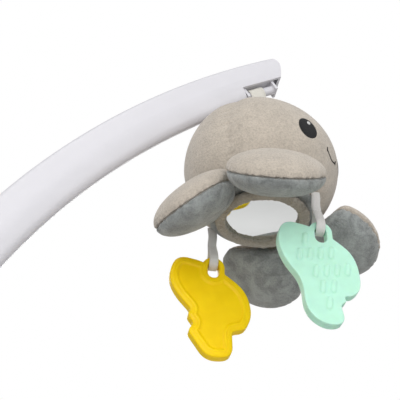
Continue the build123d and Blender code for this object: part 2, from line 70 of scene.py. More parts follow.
# Root of each lobe: azimuth, radius and height about the dome, then heading, droop and twist
LOBE_ROOTS = {
    "near": (-96, 46, -33, -95, 45, 0),
    "rear": (208, 40, -37, 196, 42, -7),
    "far": (74, 42, -38, 77, 26, 18),
    "front": (17, 39, -37, 9, 25, -4),
}
RIBBON_AZIMUTHS = {"mint": -41.5, "yellow": 138.0}
# The embroidery: heights in degrees above the dome's middle, the rest in millimetres
EYE_ELEVATION, EYE_TALLNESS = 2.2, 1.13
GLINT_RIGHT, GLINT_UP, GLINT_RADIUS = 0.8, 5.0, 1.8
MOUTH_ELEVATION, MOUTH_HALF_WIDTH, MOUTH_SAG, MOUTH_TILT = -8, 7.6, 3.4, 1.6


# ---------------------------------------------------------------- colour and properties
def to_linear(code):
    """Linear red, green and blue of an sRGB hex colour."""
    parts = [int(code[i:i + 2], 16) / 255 for i in (0, 2, 4)]
    return [p / 12.92 if p <= 0.04045 else ((p + 0.055) / 1.055) ** 2.4 for p in parts]


def colour_property(name, description, code):
    return FloatVectorProperty(
        name=name, description=description, subtype="COLOR", size=3, min=0, max=1, default=to_linear(code)
    )


def length_property(name, description, millimetres):
    return FloatProperty(
        name=name, description=description, subtype="DISTANCE", unit="LENGTH", min=0, precision=4,
        default=millimetres * MM,
    )


class ToyBarColours(bpy.types.PropertyGroup):
    """Colours of the toy bar's materials."""

    plastic: colour_property("Plastic", "Moulded plastic of the arm", "D4D3D8")
    tape: colour_property("Tape", "Woven hanging tape", "E6E3DA")
    top_velour: colour_property("Top velour", "Velour of the dome and of the lobes' tops", "C3B9AC")
    # the ring is sewn from the same beige velour as the dome: this darker copy of its colour is painted
    # shade
    ring_velour: colour_property("Ring velour", "Velour of the ring round the mirror", "A79F92")
    under_velour: colour_property("Under velour", "Velour of the belly and the lobes' undersides", "989C9B")
    black_thread: colour_property("Black thread", "Embroidery thread of the eyes and mouth", "0E0E11")
    white_thread: colour_property("White thread", "Embroidery thread of the eyes' glints", "F2F1EC")
    seam_thread: colour_property("Seam thread", "Sewing thread in the lobes' seams", "A39A8C")
    ribbon: colour_property("Ribbon", "Satin ribbon of the teethers", "EFEDEA")
    mint: colour_property("Mint silicone", "Mint teether", "BFF0DA")
    yellow: colour_property("Yellow silicone", "Yellow teether", "FFD500")


class ToyBarSizes(bpy.types.PropertyGroup):
    """Sizes of the toy bar's soft pieces."""

    dome_radius: length_property("Dome radius", "Radius of the plush dome", 61.5)
    belly_depth: length_property("Belly depth", "From the dome's middle down to its flat belly", 43.4)
    lobe_radius: length_property("Lobe radius", "Radius of a lobe's seam", 35)
    lobe_thickness: length_property("Lobe thickness", "Thickness of a lobe before it is stuffed", 32)
    seam_depth: length_property("Seam depth", "How deep a seam sinks into the velour", 1.3)
    stitch_pitch: length_property("Stitch pitch", "Distance between two stitches of a lobe's seam", 2.6)
    thread_radius: length_property("Thread radius", "Radius of the sewing thread", 0.28)
    eye_radius: length_property("Eye radius", "Radius of an embroidered eye", 9.5)
    ribbon_width: length_property("Ribbon width", "Width of the satin ribbons", 7)
    tape_width: length_property("Tape width", "Width of the hanging tape", 14)


def sizes():
    """The size properties as a dictionary in millimetres."""
    group = bpy.context.scene.toy_bar_sizes
    return {name: getattr(group, name) / MM for name in ToyBarSizes.__annotations__}


def colours():
    group = bpy.context.scene.toy_bar_colours
    return {name: tuple(getattr(group, name)) for name in ToyBarColours.__annotations__}


# ---------------------------------------------------------------- materials
def add_node(tree, kind, settings=None, links=None):
    """Adds a node, sets its properties and socket values, and links its inputs to other nodes' outputs."""
    node = tree.nodes.new(kind)
    for key, value in (settings or {}).items():
        if isinstance(key, str) and hasattr(node, key) and key not in node.inputs:
            setattr(node, key, value)
        else:
            node.inputs[key].default_value = value
    for key, source in (links or {}).items():
        tree.links.new(source, node.inputs[key])
    return node


def new_material(name, shader_settings):
    """An empty node material with its shader and output, and the shader for further links."""
    material = bpy.data.materials.get(name)
    if material:
        return material, None, None
    material = bpy.data.materials.new(name)
    material.use_nodes = True
    tree = material.node_tree
    tree.nodes.clear()
    shader = add_node(tree, "ShaderNodeBsdfPrincipled", shader_settings)
    add_node(tree, "ShaderNodeOutputMaterial", None, {"Surface": shader.outputs["BSDF"]})
    return material, tree, shader


def shades(colour, dark, light):
    """The colour made darker and lighter by two factors, with alpha."""
    return [[*(min(1, c * dark) for c in colour), 1], [*(min(1, c * light) for c in colour), 1]]


def ramp_between(tree, factor, low, high, first=0.3, last=0.7):
    """Colour ramp from one colour to another between two places of its factor."""
    ramp = add_node(tree, "ShaderNodeValToRGB", None, {"Fac": factor})
    ramp.color_ramp.elements[0].position = first
    ramp.color_ramp.elements[1].position = last
    ramp.color_ramp.elements[0].color = low
    ramp.color_ramp.elements[1].color = high
    return ramp.outputs["Color"]


def noise(tree, scale, detail, **more):
    """Noise over the piece's own coordinates, its pattern about 1/scale metres across."""
    place = add_node(tree, "ShaderNodeTexCoord").outputs["Object"]
    settings = {"Scale": scale, "Detail": detail, **more}
    return add_node(tree, "ShaderNodeTexNoise", settings, {"Vector": place}).outputs["Fac"]


def thread_rows(tree, place, direction, thread, settings):
    """Bands one thread wide over UV values in millimetres."""
    settings = {
        "wave_type": "BANDS", "bands_direction": direction, "Scale": pi / thread / 10, **settings,
    }
    return add_node(tree, "ShaderNodeTexWave", settings, {"Vector": place}).outputs["Fac"]


def vary(tree, shader, socket, pattern, value, dark, light, first=0.3, last=0.7):
    """Lets a pattern take one of the shader's sockets between a darker and a lighter value."""
    low, high = shades(value, dark, light)
    tree.links.new(ramp_between(tree, pattern, low, high, first, last), shader.inputs[socket])


def roughen(tree, shader, height, strength, distance, under=None):
    """Bumps the shader's surface by a pattern of heights, over another bump if one is given."""
    links = {"Height": height, "Normal": under} if under else {"Height": height}
    bump = add_node(tree, "ShaderNodeBump", {"Strength": strength, "Distance": distance}, links)
    tree.links.new(bump.outputs["Normal"], shader.inputs["Normal"])
    return bump.outputs["Normal"]


def velour(name, colour, nap_depth=0.06):
    """Polyester velour: a short upright pile, so its edges look paler and brushed patches show in it."""
    material, tree, shader = new_material(
        name,
        {
            "Roughness": 0.92, "Specular IOR Level": 0.2, "Sheen Weight": 0.55, "Sheen Roughness": 0.45,
            "Sheen Tint": (1, 0.97, 0.93, 1),
        },
    )
    if tree is None:
        return material
    # pile tufts are 0.5 mm apart, drawn as coarse as 1.4 mm to show, and the nap's strokes are 12 mm long
    tuft = noise(tree, 700, 4, Roughness=0.7)
    nap = noise(tree, 85, 4, Distortion=0.8)
    low, high = shades(colour, 1 - nap_depth, 1 + nap_depth)
    tone = ramp_between(tree, nap, low, high, 0.35, 0.65)
    fleck_low, fleck_high = shades((1, 1, 1), 0.68, 1)
    fleck = ramp_between(tree, tuft, fleck_low, fleck_high, 0.36, 0.58)
    mixed = add_node(
        tree, "ShaderNodeMix", {"data_type": "RGBA", "blend_type": "MULTIPLY", 0: 0.75}, {6: tone, 7: fleck}
    )
    tree.links.new(mixed.outputs[2], shader.inputs["Base Color"])
    soft = roughen(tree, shader, nap, 0.35, 0.0012)
    roughen(tree, shader, tuft, 0.8, 0.0012, soft)
    return material


def top_velour():
    return velour("Beige polyester velour", colours()["top_velour"])


def under_velour():
    return velour("Grey polyester velour", colours()["under_velour"], 0.24)


def moulded_plastic(name, colour, roughness):
    """Injection-moulded ABS: a smooth satin skin with a very slight flow waviness."""
    material, tree, shader = new_material(name, {"Roughness": roughness, "IOR": 1.53, "Coat Weight": 0.08})
    if tree is None:
        return material
    # flow marks 40 mm long and a spark-eroded grain of 0.7 mm
    flow = noise(tree, 25, 2)
    grain = noise(tree, 1400, 2)
    vary(tree, shader, "Base Color", flow, colour, 0.975, 1.01)
    vary(tree, shader, "Roughness", grain, (roughness,) * 3, 0.85, 1.15)
    roughen(tree, shader, grain, 0.08, 0.0002)
    return material


def silicone(name, colour):
    """Moulded food-grade silicone: light goes a little way in, and dust-fine mottling dulls its gloss."""
    roughness = 0.42
    material, tree, shader = new_material(
        name,
        {
            "IOR": 1.41, "Roughness": roughness, "Specular IOR Level": 0.3, "Subsurface Weight": 0.35,
            "Subsurface Scale": 0.004, "Subsurface Radius": (1.0, 0.9, 0.6),
        },
    )
    if tree is None:
        return material
    # handling marks 8 mm across over a 0.5 mm bead-blasted grain
    mottle = noise(tree, 120, 3)
    grain = noise(tree, 2000, 2)
    vary(tree, shader, "Base Color", mottle, colour, 0.95, 1.02)
    vary(tree, shader, "Roughness", mottle, (roughness,) * 3, 0.85, 1.2)
    roughen(tree, shader, grain, 0.12, 0.0002)
    return material


def woven(name, colour, thread, sheen, roughness, lean):
    """Narrow-loom weaving: its threads cross at a lean, over the piece's UV map."""
    material, tree, shader = new_material(
        name, {"Roughness": roughness, "Sheen Weight": sheen, "Sheen Roughness": 0.3}
    )
    if tree is None:
        return material
    place = add_node(
        tree, "ShaderNodeMapping", {"Rotation": (0, 0, radians(lean))},
        {"Vector": add_node(tree, "ShaderNodeTexCoord").outputs["UV"]},
    ).outputs["Vector"]
    # one wave for the warp and one for the weft
    warp, weft = (
        thread_rows(tree, place, way, thread, {"Distortion": 0.6, "Detail Scale": 2}) for way in "XY"
    )
    cross = add_node(tree, "ShaderNodeMath", {"operation": "MULTIPLY"}, {0: warp, 1: weft}).outputs["Value"]
    # base colour darker where a thread dips and a little paler where threads ride over each other: painted
    # shade and painted highlight in the weave
    vary(tree, shader, "Base Color", cross, colour, 0.72, 1.08, 0.05, 0.6)
    roughen(tree, shader, cross, 0.5, 0.0002)
    return material


def embroidery(name, colour, thread):
    """Rayon satin stitch: parallel shiny threads laid side by side, over the piece's UV map."""
    material, tree, shader = new_material(
        name, {"Roughness": 0.5, "Sheen Weight": 0.03, "Anisotropic": 0.4, "Specular IOR Level": 0.3}
    )
    if tree is None:
        return material
    place = add_node(tree, "ShaderNodeTexCoord").outputs["UV"]
    rows = thread_rows(
        tree, place, "X", thread, {"Distortion": 1.2, "Detail": 2, "Detail Scale": 1.5}
    )
    # base colour darker between the threads and paler along their crowns: painted shade and painted
    # highlight
    vary(tree, shader, "Base Color", rows, colour, 0.5, 1.6, 0.1, 0.9)
    roughen(tree, shader, rows, 0.8, 0.0003)
    return material


def spun_thread(name, colour):
    """Twisted polyester sewing thread: matt, with a paler twist mark every half millimetre."""
    material, tree, shader = new_material(name, {"Roughness": 0.7, "Sheen Weight": 0.2})
    if tree is None:
        return material
    vary(tree, shader, "Base Color", noise(tree, 2000, 1), colour, 0.8, 1.15)
    return material


def silvered_acrylic(name):
    """Silvered acrylic sheet: a child-safe mirror, clear but very slightly wavy."""
    material, tree, shader = new_material(name, {"Metallic": 1.0, "Roughness": 0.04})
    if tree is None:
        return material
    # waves 30 mm long in the thin sheet
    wave = noise(tree, 35, 1)
    vary(tree, shader, "Base Color", wave, (0.88, 0.9, 0.9), 0.98, 1)
    roughen(tree, shader, wave, 0.1, 0.0006)
    return material


def plated_steel(name):
    """Zinc-plated screw steel, with fine turning marks."""
    material, tree, shader = new_material(name, {"Metallic": 1.0, "Roughness": 0.35})
    if tree is None:
        return material
    vary(tree, shader, "Base Color", noise(tree, 1800, 2), to_linear("B4B6B8"), 0.85, 1.1)
    return material


# ---------------------------------------------------------------- meshes
def coords(obj):
    out = np.empty(len(obj.data.vertices) * 3)
    obj.data.vertices.foreach_get("co", out)
    return out.reshape(-1, 3) / MM


def set_coords(obj, points):
    obj.data.vertices.foreach_set("co", (np.asarray(points) * MM).ravel())
    obj.data.update()


def normals(obj):
    out = np.empty(len(obj.data.vertices) * 3)
    obj.data.vertex_normals.foreach_get("vector", out)
    return out.reshape(-1, 3)


def placed(name, mesh):
    """An object for the mesh, at the origin of the scene."""
    obj = bpy.data.objects.new(name, mesh)
    bpy.context.scene.collection.objects.link(obj)
    return obj


def turn_faces_out(mesh, join=0):
    """Points the mesh's faces outwards, after joining points nearer than a distance if one is given."""
    form = bmesh.new()
    form.from_mesh(mesh)
    if join:
        bmesh.ops.remove_doubles(form, verts=form.verts, dist=join)
    bmesh.ops.recalc_face_normals(form, faces=form.faces)
    form.to_mesh(mesh)
    form.free()


def new_object(name, points, faces, uv=None, edges=()):
    """A mesh object at the origin from points in millimetres, with UV values per point if given."""
    mesh = bpy.data.meshes.new(name)
    mesh.from_pydata([tuple(p * MM for p in point) for point in points], list(edges), faces)
    if uv is not None:
        layer = mesh.uv_layers.new(name="UVMap")
        for loop in mesh.loops:
            layer.data[loop.index].uv = uv[loop.vertex_index]
    mesh.validate()
    mesh.shade_smooth()
    return placed(name, mesh)


def ball(name, subdivisions):
    """A unit ball of even triangles, and its points as directions."""
    form = bmesh.new()
    bmesh.ops.create_icosphere(form, subdivisions=subdivisions, radius=1)
    mesh = bpy.data.meshes.new(name)
    form.to_mesh(mesh)
    form.free()
    mesh.shade_smooth()
    obj = placed(name, mesh)
    ways = coords(obj) * MM
    return obj, ways / np.linalg.norm(ways, axis=1)[:, None]


def bake_modifiers(obj):
    """Makes the modifiers' result the object's own mesh."""
    graph = bpy.context.evaluated_depsgraph_get()
    mesh = bpy.data.meshes.new_from_object(obj.evaluated_get(graph))
    old = obj.data
    obj.modifiers.clear()
    obj.data = mesh
    bpy.data.meshes.remove(old)
    mesh.shade_smooth()


def subdivide(obj):
    modifier = obj.modifiers.new("Subdivision", "SUBSURF")
    modifier.levels = modifier.render_levels = 1
    bake_modifiers(obj)


def nearest_crossing(distances, sharpness):
    """Smooth least of several distances along each direction: more sharpness makes a tighter edge."""
    return np.sum([d ** -sharpness for d in distances], axis=0) ** (-1 / sharpness)


def plane_distance(start, ways, point, outward):
    """How far each direction goes from the start until it meets a plane, or very far if it doesn't."""
    height = (np.asarray(point) - np.asarray(start)) @ outward
    along = ways @ outward
    return np.where(along * np.sign(height) > 1e-4, height / np.where(along == 0, 1, along), 1e4)


def swell(obj, pinned, cap, pressure, slack):
    """Stuffs a sewn shape: its cloth, a little too large between pinned seams, fills out under pressure.
    The cloth is worked at five times its size, where the solver is steadiest."""
    start = coords(obj)
    grow = 5
    set_coords(obj, start * grow)
    group = obj.vertex_groups.new(name="seams")
    group.add([int(i) for i in pinned], 1.0, "REPLACE")
    cloth = obj.modifiers.new("Cloth", "CLOTH")
    settings = cloth.settings
    settings.quality = 5
    settings.mass = 0.3
    settings.tension_stiffness = settings.compression_stiffness = 18
    settings.shear_stiffness = 6
    settings.bending_stiffness = 0.6
    settings.use_pressure = True
    settings.uniform_pressure_force = pressure
    settings.vertex_group_mass = "seams"
    settings.shrink_min = -slack
    settings.effector_weights.gravity = 0
    scene = bpy.context.scene
    for number in range(1, 21):
        scene.frame_set(number)
    graph = bpy.context.evaluated_depsgraph_get()
    settled = np.empty(len(start) * 3)
    obj.evaluated_get(graph).data.vertices.foreach_get("co", settled)
    settled = settled.reshape(-1, 3) / MM / grow
    obj.modifiers.clear()
    obj.vertex_groups.clear()
    scene.frame_set(1)
    moved = settled - start
    reach = np.linalg.norm(moved, axis=1)[:, None]
    set_coords(obj, start + moved * np.minimum(1, cap / np.maximum(reach, 1e-9)))


def even_line(points, step, closed=False):
    """The line through the points with a point every step, and the distance along it at each."""
    points = np.asarray(points, float)
    if closed:
        points = np.vstack([points, points[:1]])
    lengths = np.linalg.norm(np.diff(points, axis=0), axis=1)
    along = np.concatenate([[0], np.cumsum(lengths)])
    count = max(3, int(round(along[-1] / step)))
    at = np.linspace(0, along[-1], count + 1)[: count if closed else count + 1]
    return np.column_stack([np.interp(at, along, points[:, k]) for k in range(3)]), at


def press_seam(obj, line, depth, width, pucker, pitch, closed=False):
    """Sinks the cloth along a seam line and gathers it in small puckers beside the seam."""
    line, along = even_line(line, 0.5, closed)
    tree = KDTree(len(line))
    for index, point in enumerate(line):
        tree.insert(point, index)
    tree.balance()
    points, outward = coords(obj), normals(obj)
    found = [tree.find(point) for point in points]
    away = np.array([f[2] for f in found])
    phase = along[[f[1] for f in found]]
    gather = 0.5 + 0.5 * np.cos(2 * pi * phase / pitch + 1.7 * np.sin(phase * 0.31))
    sink = depth * np.exp(-((away / width) ** 2))
    sink += pucker * gather * np.exp(-((away / (3.2 * width)) ** 2))
    sink[away > 10 * width] = 0
    set_coords(obj, points - outward * sink[:, None])


def finish_piece(obj, material, body, replaced=()):
    """Gives a piece its material and body, and hides the solids it stands for."""
    obj.data.materials.clear()
    obj.data.materials.append(material)
    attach(obj, body)
    if replaced:
        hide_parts(*replaced)


def dress_node(node, material):
    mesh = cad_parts[node].data
    mesh.materials.clear()
    mesh.materials.append(material)


# ---------------------------------------------------------------- stitches by Geometry Nodes
def stitch_tree():
    """Geometry Nodes tree that lays leaning thread stitches along a line of edges."""
    tree = bpy.data.node_groups.get("Row of stitches")
    if tree:
        return tree
    tree = bpy.data.node_groups.new("Row of stitches", "GeometryNodeTree")
    face = tree.interface
    face.new_socket("Seam line", in_out="INPUT", socket_type="NodeSocketGeometry")
    for name, value in (
        ("Stitch pitch", 2.6 * MM), ("Stitch length", 2 * MM), ("Thread radius", 0.25 * MM),
        ("Lean", 0.0), ("Unevenness", 0.06),
    ):
        socket = face.new_socket(name, in_out="INPUT", socket_type="NodeSocketFloat")
        socket.default_value = value
    face.new_socket("Thread", in_out="INPUT", socket_type="NodeSocketMaterial")
    face.new_socket("Stitches", in_out="OUTPUT", socket_type="NodeSocketGeometry")
    entry = add_node(tree, "NodeGroupInput").outputs
    outward = add_node(
        tree, "GeometryNodeInputNamedAttribute", {"data_type": "FLOAT_VECTOR", "Name": "outward"}
    )
    line = add_node(tree, "GeometryNodeMeshToCurve", None, {"Mesh": entry["Seam line"]})
    spots = add_node(
        tree, "GeometryNodeCurveToPoints", {"mode": "LENGTH"},
        {"Curve": line.outputs["Curve"], "Length": entry["Stitch pitch"]},
    )
    along = add_node(
        tree, "FunctionNodeAlignRotationToVector", {"axis": "Z"}, {"Vector": spots.outputs["Tangent"]}
    )
    facing = add_node(
        tree, "FunctionNodeAlignRotationToVector", {"axis": "X", "pivot_axis": "Z"},
        {"Rotation": along.outputs["Rotation"], "Vector": outward.outputs["Attribute"]},
    )
    uneven = add_node(tree, "FunctionNodeRandomValue", {"data_type": "FLOAT", "Seed": 7})
    spread = add_node(
        tree, "ShaderNodeMath", {"operation": "MULTIPLY"}, {0: entry["Unevenness"], 1: uneven.outputs[1]}
    )
    angle = add_node(
        tree, "ShaderNodeMath", {"operation": "ADD"}, {0: entry["Lean"], 1: spread.outputs["Value"]}
    )
    lean = add_node(
        tree, "FunctionNodeAxisAngleToRotation", {"Axis": (1, 0, 0)}, {"Angle": angle.outputs["Value"]}
    )
    turned = add_node(
        tree, "FunctionNodeRotateRotation", {"rotation_space": "LOCAL"},
        {"Rotation": facing.outputs["Rotation"], "Rotate By": lean.outputs["Rotation"]},
    )
    thread = add_node(tree, "GeometryNodeMeshUVSphere", {"Segments": 8, "Rings": 6, "Radius": 1.0})
    half = add_node(tree, "ShaderNodeMath", {"operation": "MULTIPLY", 1: 0.5}, {0: entry["Stitch length"]})
    shape = add_node(
        tree, "ShaderNodeCombineXYZ", None,
        {"X": entry["Thread radius"], "Y": entry["Thread radius"], "Z": half.outputs["Value"]},
    )
    laid = add_node(
        tree, "GeometryNodeInstanceOnPoints", None,
        {
            "Points": spots.outputs["Points"], "Instance": thread.outputs["Mesh"],
            "Rotation": turned.outputs["Rotation"], "Scale": shape.outputs["Vector"],
        },
    )
    real = add_node(tree, "GeometryNodeRealizeInstances", None, {"Geometry": laid.outputs["Instances"]})
    smooth = add_node(tree, "GeometryNodeSetShadeSmooth", None, {"Geometry": real.outputs["Geometry"]})
    coloured = add_node(
        tree, "GeometryNodeSetMaterial", None,
        {"Geometry": smooth.outputs["Geometry"], "Material": entry["Thread"]},
    )
    add_node(tree, "NodeGroupOutput", None, {"Stitches": coloured.outputs["Geometry"]})
    return tree


def stitch_row(name, lines, material, pitch, length, radius, lean=0.0):
    """Plain mesh of stitches along lines, each given as points, outward directions and closed or not."""
    points, ways, edges = [], [], []
    for line, outward, closed in lines:
        base = len(points)
        points.extend(line)
        ways.extend(outward)
        edges.extend((base + k, base + k + 1) for k in range(len(line) - 1))
        if closed:
            edges.append((base + len(line) - 1, base))
    obj = new_object(name, points, [], edges=edges)
    attribute = obj.data.attributes.new("outward", "FLOAT_VECTOR", "POINT")
    attribute.data.foreach_set("vector", np.asarray(ways, np.float32).ravel())
    tree = stitch_tree()
    modifier = obj.modifiers.new("Stitches", "NODES")
    modifier.node_group = tree
    values = {
        "Stitch pitch": pitch * MM, "Stitch length": length * MM, "Thread radius": radius * MM,
        "Lean": lean, "Thread": material,
    }
    for item in tree.interface.items_tree:
        if item.item_type == "SOCKET" and item.in_out == "INPUT" and item.name in values:
            modifier[item.identifier] = values[item.name]
    bake_modifiers(obj)
    return obj


# ---------------------------------------------------------------- shapes of the toy
def turned(vector, axis, angle):
    """A vector turned about an axis by an angle in degrees."""
    return np.array(Quaternion(Vector(axis), radians(angle)) @ Vector(vector))


def dome_reach(ways, radius, belly_depth):
    """Distance from the dome's middle to its cloth: fuller at the back, flatter above the face."""
    azimuth = np.degrees(np.arctan2(ways[:, 1], ways[:, 0])) - FRONT_AZIMUTH
    height = np.degrees(np.arcsin(np.clip(ways[:, 2], -1, 1)))
    forward = np.cos(np.radians(azimuth))
    reach = np.full(len(ways), radius)
    reach = reach * (1 - 0.035 * np.clip(forward, 0, 1) * np.exp(-(((height - 48) / 20) ** 2)))
    reach = reach * (1 + 0.025 * np.clip(-forward, 0, 1) * np.exp(-(((height - 42) / 24) ** 2)))
    reach = reach * (1 + 0.02 * np.clip(forward, 0, 1) * np.exp(-(((height + 2) / 26) ** 2)))
    floor = np.where(ways[:, 2] < -0.02, belly_depth / np.maximum(-ways[:, 2], 0.02), 1e4)
    return nearest_crossing([reach, floor], 22)


def lobe_place(name, radius):
    """Middle of a lobe and its three directions: out from the root, across, and its top side."""
    azimuth, root_radius, height, heading, droop, twist = LOBE_ROOTS[name]
    root = DOME + np.array([
        root_radius * cos(radians(azimuth)), root_radius * sin(radians(azimuth)), height
    ])
    h, d = radians(heading), radians(droop)
    out = np.array([cos(h) * cos(d), sin(h) * cos(d), -sin(d)])
    top = turned(np.cross(out, [-sin(h), cos(h), 0]), out, twist)
    return root, root + out * (radius - 6), out, np.cross(top, out), top


def lobe_limits(name, radius):
    """Planes a lobe stays within: the dome as it is met over the lobe's travel, and its neighbours."""
    root = lobe_place(name, radius)[0]
    heading = radians(LOBE_ROOTS[name][3])
    hinge = [sin(heading), -cos(heading), 0]
    outward = (root - DOME) / np.linalg.norm(root - DOME)
    touch = DOME + outward * 62.7 - root
    planes = [(root + turned(touch, hinge, a), -turned(outward, hinge, a)) for a in (-6, 11)]
    bearings = {}
    for other in LOBES:
        away = lobe_place(other, radius)[1] - DOME
        bearings[other] = degrees(atan2(away[1], away[0])) % 360
    order = sorted(LOBES, key=bearings.get)
    for step in (-1, 1):
        neighbour = order[(order.index(name) + step) % 4]
        apart = (step * (bearings[neighbour] - bearings[name])) % 360
        half_way = radians(bearings[name] + step * apart / 2)
        towards = np.array([-sin(half_way), cos(half_way), 0]) * step
        planes.append((DOME - towards * 1.5, towards))
    return planes


def half_of(obj, name, upper):
    """A closed copy of one side of a stuffed piece, parted at its seam."""
    form = bmesh.new()
    form.from_mesh(obj.data)
    side = form.verts.layers.float["side"]
    sign = 1 if upper else -1
    gone = [f for f in form.faces if sign * sum(v[side] for v in f.verts) < 0]
    bmesh.ops.delete(form, geom=gone, context="FACES")
    rim = [e for e in form.edges if e.is_boundary]
    caps = bmesh.ops.holes_fill(form, edges=rim, sides=0)["faces"]
    bmesh.ops.poke(form, faces=caps)
    bmesh.ops.recalc_face_normals(form, faces=form.faces)
    mesh = bpy.data.meshes.new(name)
    form.to_mesh(mesh)
    form.free()
    mesh.shade_smooth()
    return placed(name, mesh)


def surface_of(obj):
    """Search tree of a finished surface, in millimetres."""
    mesh = obj.data
    mesh.calc_loop_triangles()
    return BVHTree.FromPolygons(
        [tuple(p) for p in coords(obj)], [tuple(t.vertices) for t in mesh.loop_triangles]
    )


def on_surface(tree, ways, lift):
    """Points where directions from the dome's middle leave its surface, lifted off it, and normals."""
    points, outward = [], []
    lifts = np.broadcast_to(lift, len(ways))
    for way, up in zip(ways, lifts):
        spot, normal, _, _ = tree.ray_cast(Vector(DOME + way * 120), -Vector(way))
        points.append(np.array(spot) + np.array(normal) * up)
        outward.append(np.array(normal))
    return np.array(points), np.array(outward)


def face_direction(azimuth, elevation):
    a, e = radians(azimuth), radians(elevation)
    return np.array([cos(a) * cos(e), sin(a) * cos(e), sin(e)])


def band(name, path, widths, outs, thickness, closed=False):
    """A flat strip with soft edges swept along a path, with UV in millimetres along and across."""
    width = np.linalg.norm(widths[0])
    half, round_off = thickness / 2, min(thickness / 2, 0.4)
    section = [
        (-0.5, -half + round_off), (-0.5 + round_off / width, -half), (-0.17, -half), (0.17, -half),
        (0.5 - round_off / width, -half), (0.5, -half + round_off), (0.5, half - round_off),
        (0.5 - round_off / width, half), (0.17, half), (-0.17, half),
        (-0.5 + round_off / width, half), (-0.5, half - round_off),
    ]
    count, points, uv, faces = len(section), [], [], []
    along = np.concatenate([[0], np.cumsum(np.linalg.norm(np.diff(path, axis=0), axis=1))])
    for k, (spot, across, out) in enumerate(zip(path, widths, outs)):
        for u, v in section:
            points.append(spot + across * u + out * v)
            uv.append((along[k], u * width))
    rings = len(path)
    for k in range(rings if closed else rings - 1):
        for j in range(count):
            a, b = k * count + j, k * count + (j + 1) % count
            c, d = ((k + 1) % rings) * count + (j + 1) % count, ((k + 1) % rings) * count + j
            faces.append((a, b, c, d))
    if not closed:
        faces.append(tuple(range(count - 1, -1, -1)))
        faces.append(tuple((rings - 1) * count + j for j in range(count)))
    obj = new_object(name, points, faces, uv)
    turn_faces_out(obj.data)
    obj.data.shade_smooth()
    return obj


def smooth_path(points, step):
    """A smooth curve through the points with even spacing."""
    points = np.asarray(points, float)
    padded = np.vstack([2 * points[0] - points[1], points, 2 * points[-1] - points[-2]])
    fine = []
    for k in range(1, len(padded) - 2):
        p0, p1, p2, p3 = padded[k - 1:k + 3]
        for t in np.linspace(0, 1, 12, endpoint=False):
            fine.append(
                0.5 * (2 * p1 + (p2 - p0) * t + (2 * p0 - 5 * p1 + 4 * p2 - p3) * t**2
                       + (3 * p1 - p0 - 3 * p2 + p3) * t**3)
            )
    fine.append(points[-1])
    return even_line(fine, step)[0]


def looped_path(legs, arc, step):
    """A strip's path up one leg, round its bend and down the mirrored leg."""
    other = [(-across, height) for across, height in reversed(legs)]
    return smooth_path([(across, height, 0) for across, height in legs + arc + other], step)


def circle(radius, height, around):
    """Points on a circle about the dome's upright axis."""
    turns = 2 * pi * np.arange(around) / around
    return [(DOME[0] + radius * cos(a), DOME[1] + radius * sin(a), height) for a in turns]


def disc_faces(middle, rings, around, flipped=False):
    """Faces of a disc of points: its middle's number, then rings of points outwards."""
    faces = []
    for k in range(around):
        n = (k + 1) % around
        faces.append((middle, middle + 1 + k, middle + 1 + n))
        for j in range(rings - 1):
            a = middle + 1 + j * around
            b = a + around
            faces.append((a + k, b + k, b + n, a + n))
    return [face[::-1] for face in faces] if flipped else faces


# ---------------------------------------------------------------- operators
class TOYBAR_OT_stage(bpy.types.Operator):
    """Make the floor, the soft light and the camera below the toy"""

    bl_idname = "toybar.stage"
    bl_label = "Stage"

    def execute(self, context):
        scene = context.scene
        floor = new_object("floor", [(-5000, -5000, -460), (5000, -5000, -460), (5000, 5000, -460),
                                     (-5000, 5000, -460)], [(0, 1, 2, 3)])
        material, tree, shader = new_material("Painted studio floor", {"Roughness": 0.9})
        place = add_node(tree, "ShaderNodeTexCoord").outputs["Object"]
        cloud = add_node(tree, "ShaderNodeTexNoise", {"Scale": 3}, {"Vector": place})
        low, high = shades(to_linear("D6D5D4"), 0.98, 1.0)
        tree.links.new(ramp_between(tree, cloud.outputs["Fac"], low, high), shader.inputs["Base Color"])
        floor.data.materials.append(material)
        world = bpy.data.worlds.new("Soft white room")
        world.use_nodes = True
        tree = world.node_tree
        tree.nodes.clear()
        seen = add_node(tree, "ShaderNodeLightPath").outputs["Is Camera Ray"]
        glow = add_node(tree, "ShaderNodeBackground", {"Color": (1, 1, 1, 1), "Strength": 0.42})
        plain = add_node(tree, "ShaderNodeBackground", {"Color": (1, 1, 1, 1), "Strength": 1.0})
        room = add_node(
            tree, "ShaderNodeMixShader", None,
            {0: seen, 1: glow.outputs["Background"], 2: plain.outputs["Background"]},
        )
        add_node(tree, "ShaderNodeOutputWorld", None, {"Surface": room.outputs["Shader"]})
        scene.world = world
        scene.view_settings.view_transform = "Standard"
        for name, place, aim, width, power in (
            ("Overhead softbox", (-0.25, -0.75, 1.05), (0.2, 0, 0.2), 1.0, 4.5),
            ("Front softbox", (-0.2, -1.3, 0.15), (0.2, 0, 0.15), 1.0, 10),
            ("Side softbox", (0.95, -0.8, 0.3), (0.24, 0, 0.2), 0.7, 2.7),
            ("Floor softbox", (0.4, 1.15, 0.55), (0.4, 1.15, -0.46), 1.0, 9),
        ):
            lamp = bpy.data.lights.new(name, "AREA")
            lamp.size, lamp.energy = width, power
            holder = bpy.data.objects.new(name, lamp)
            holder.location = place
            holder.rotation_mode = "QUATERNION"
            holder.rotation_quaternion = (Vector(aim) - Vector(place)).to_track_quat("-Z", "Y")
            scene.collection.objects.link(holder)
        lens = bpy.data.cameras.new("Camera")
        lens.sensor_width, lens.lens = 36, 75.7
        lens.clip_start, lens.clip_end = 0.01, 50
        camera = bpy.data.objects.new("Camera", lens)
        camera.location = (0.0979, -0.5202, -0.2192)
        camera.rotation_mode = "QUATERNION"
        camera.rotation_quaternion = Vector((0.139, 0.787, 0.602)).to_track_quat("-Z", "Y")
        scene.collection.objects.link(camera)
        scene.camera = camera
        return {"FINISHED"}


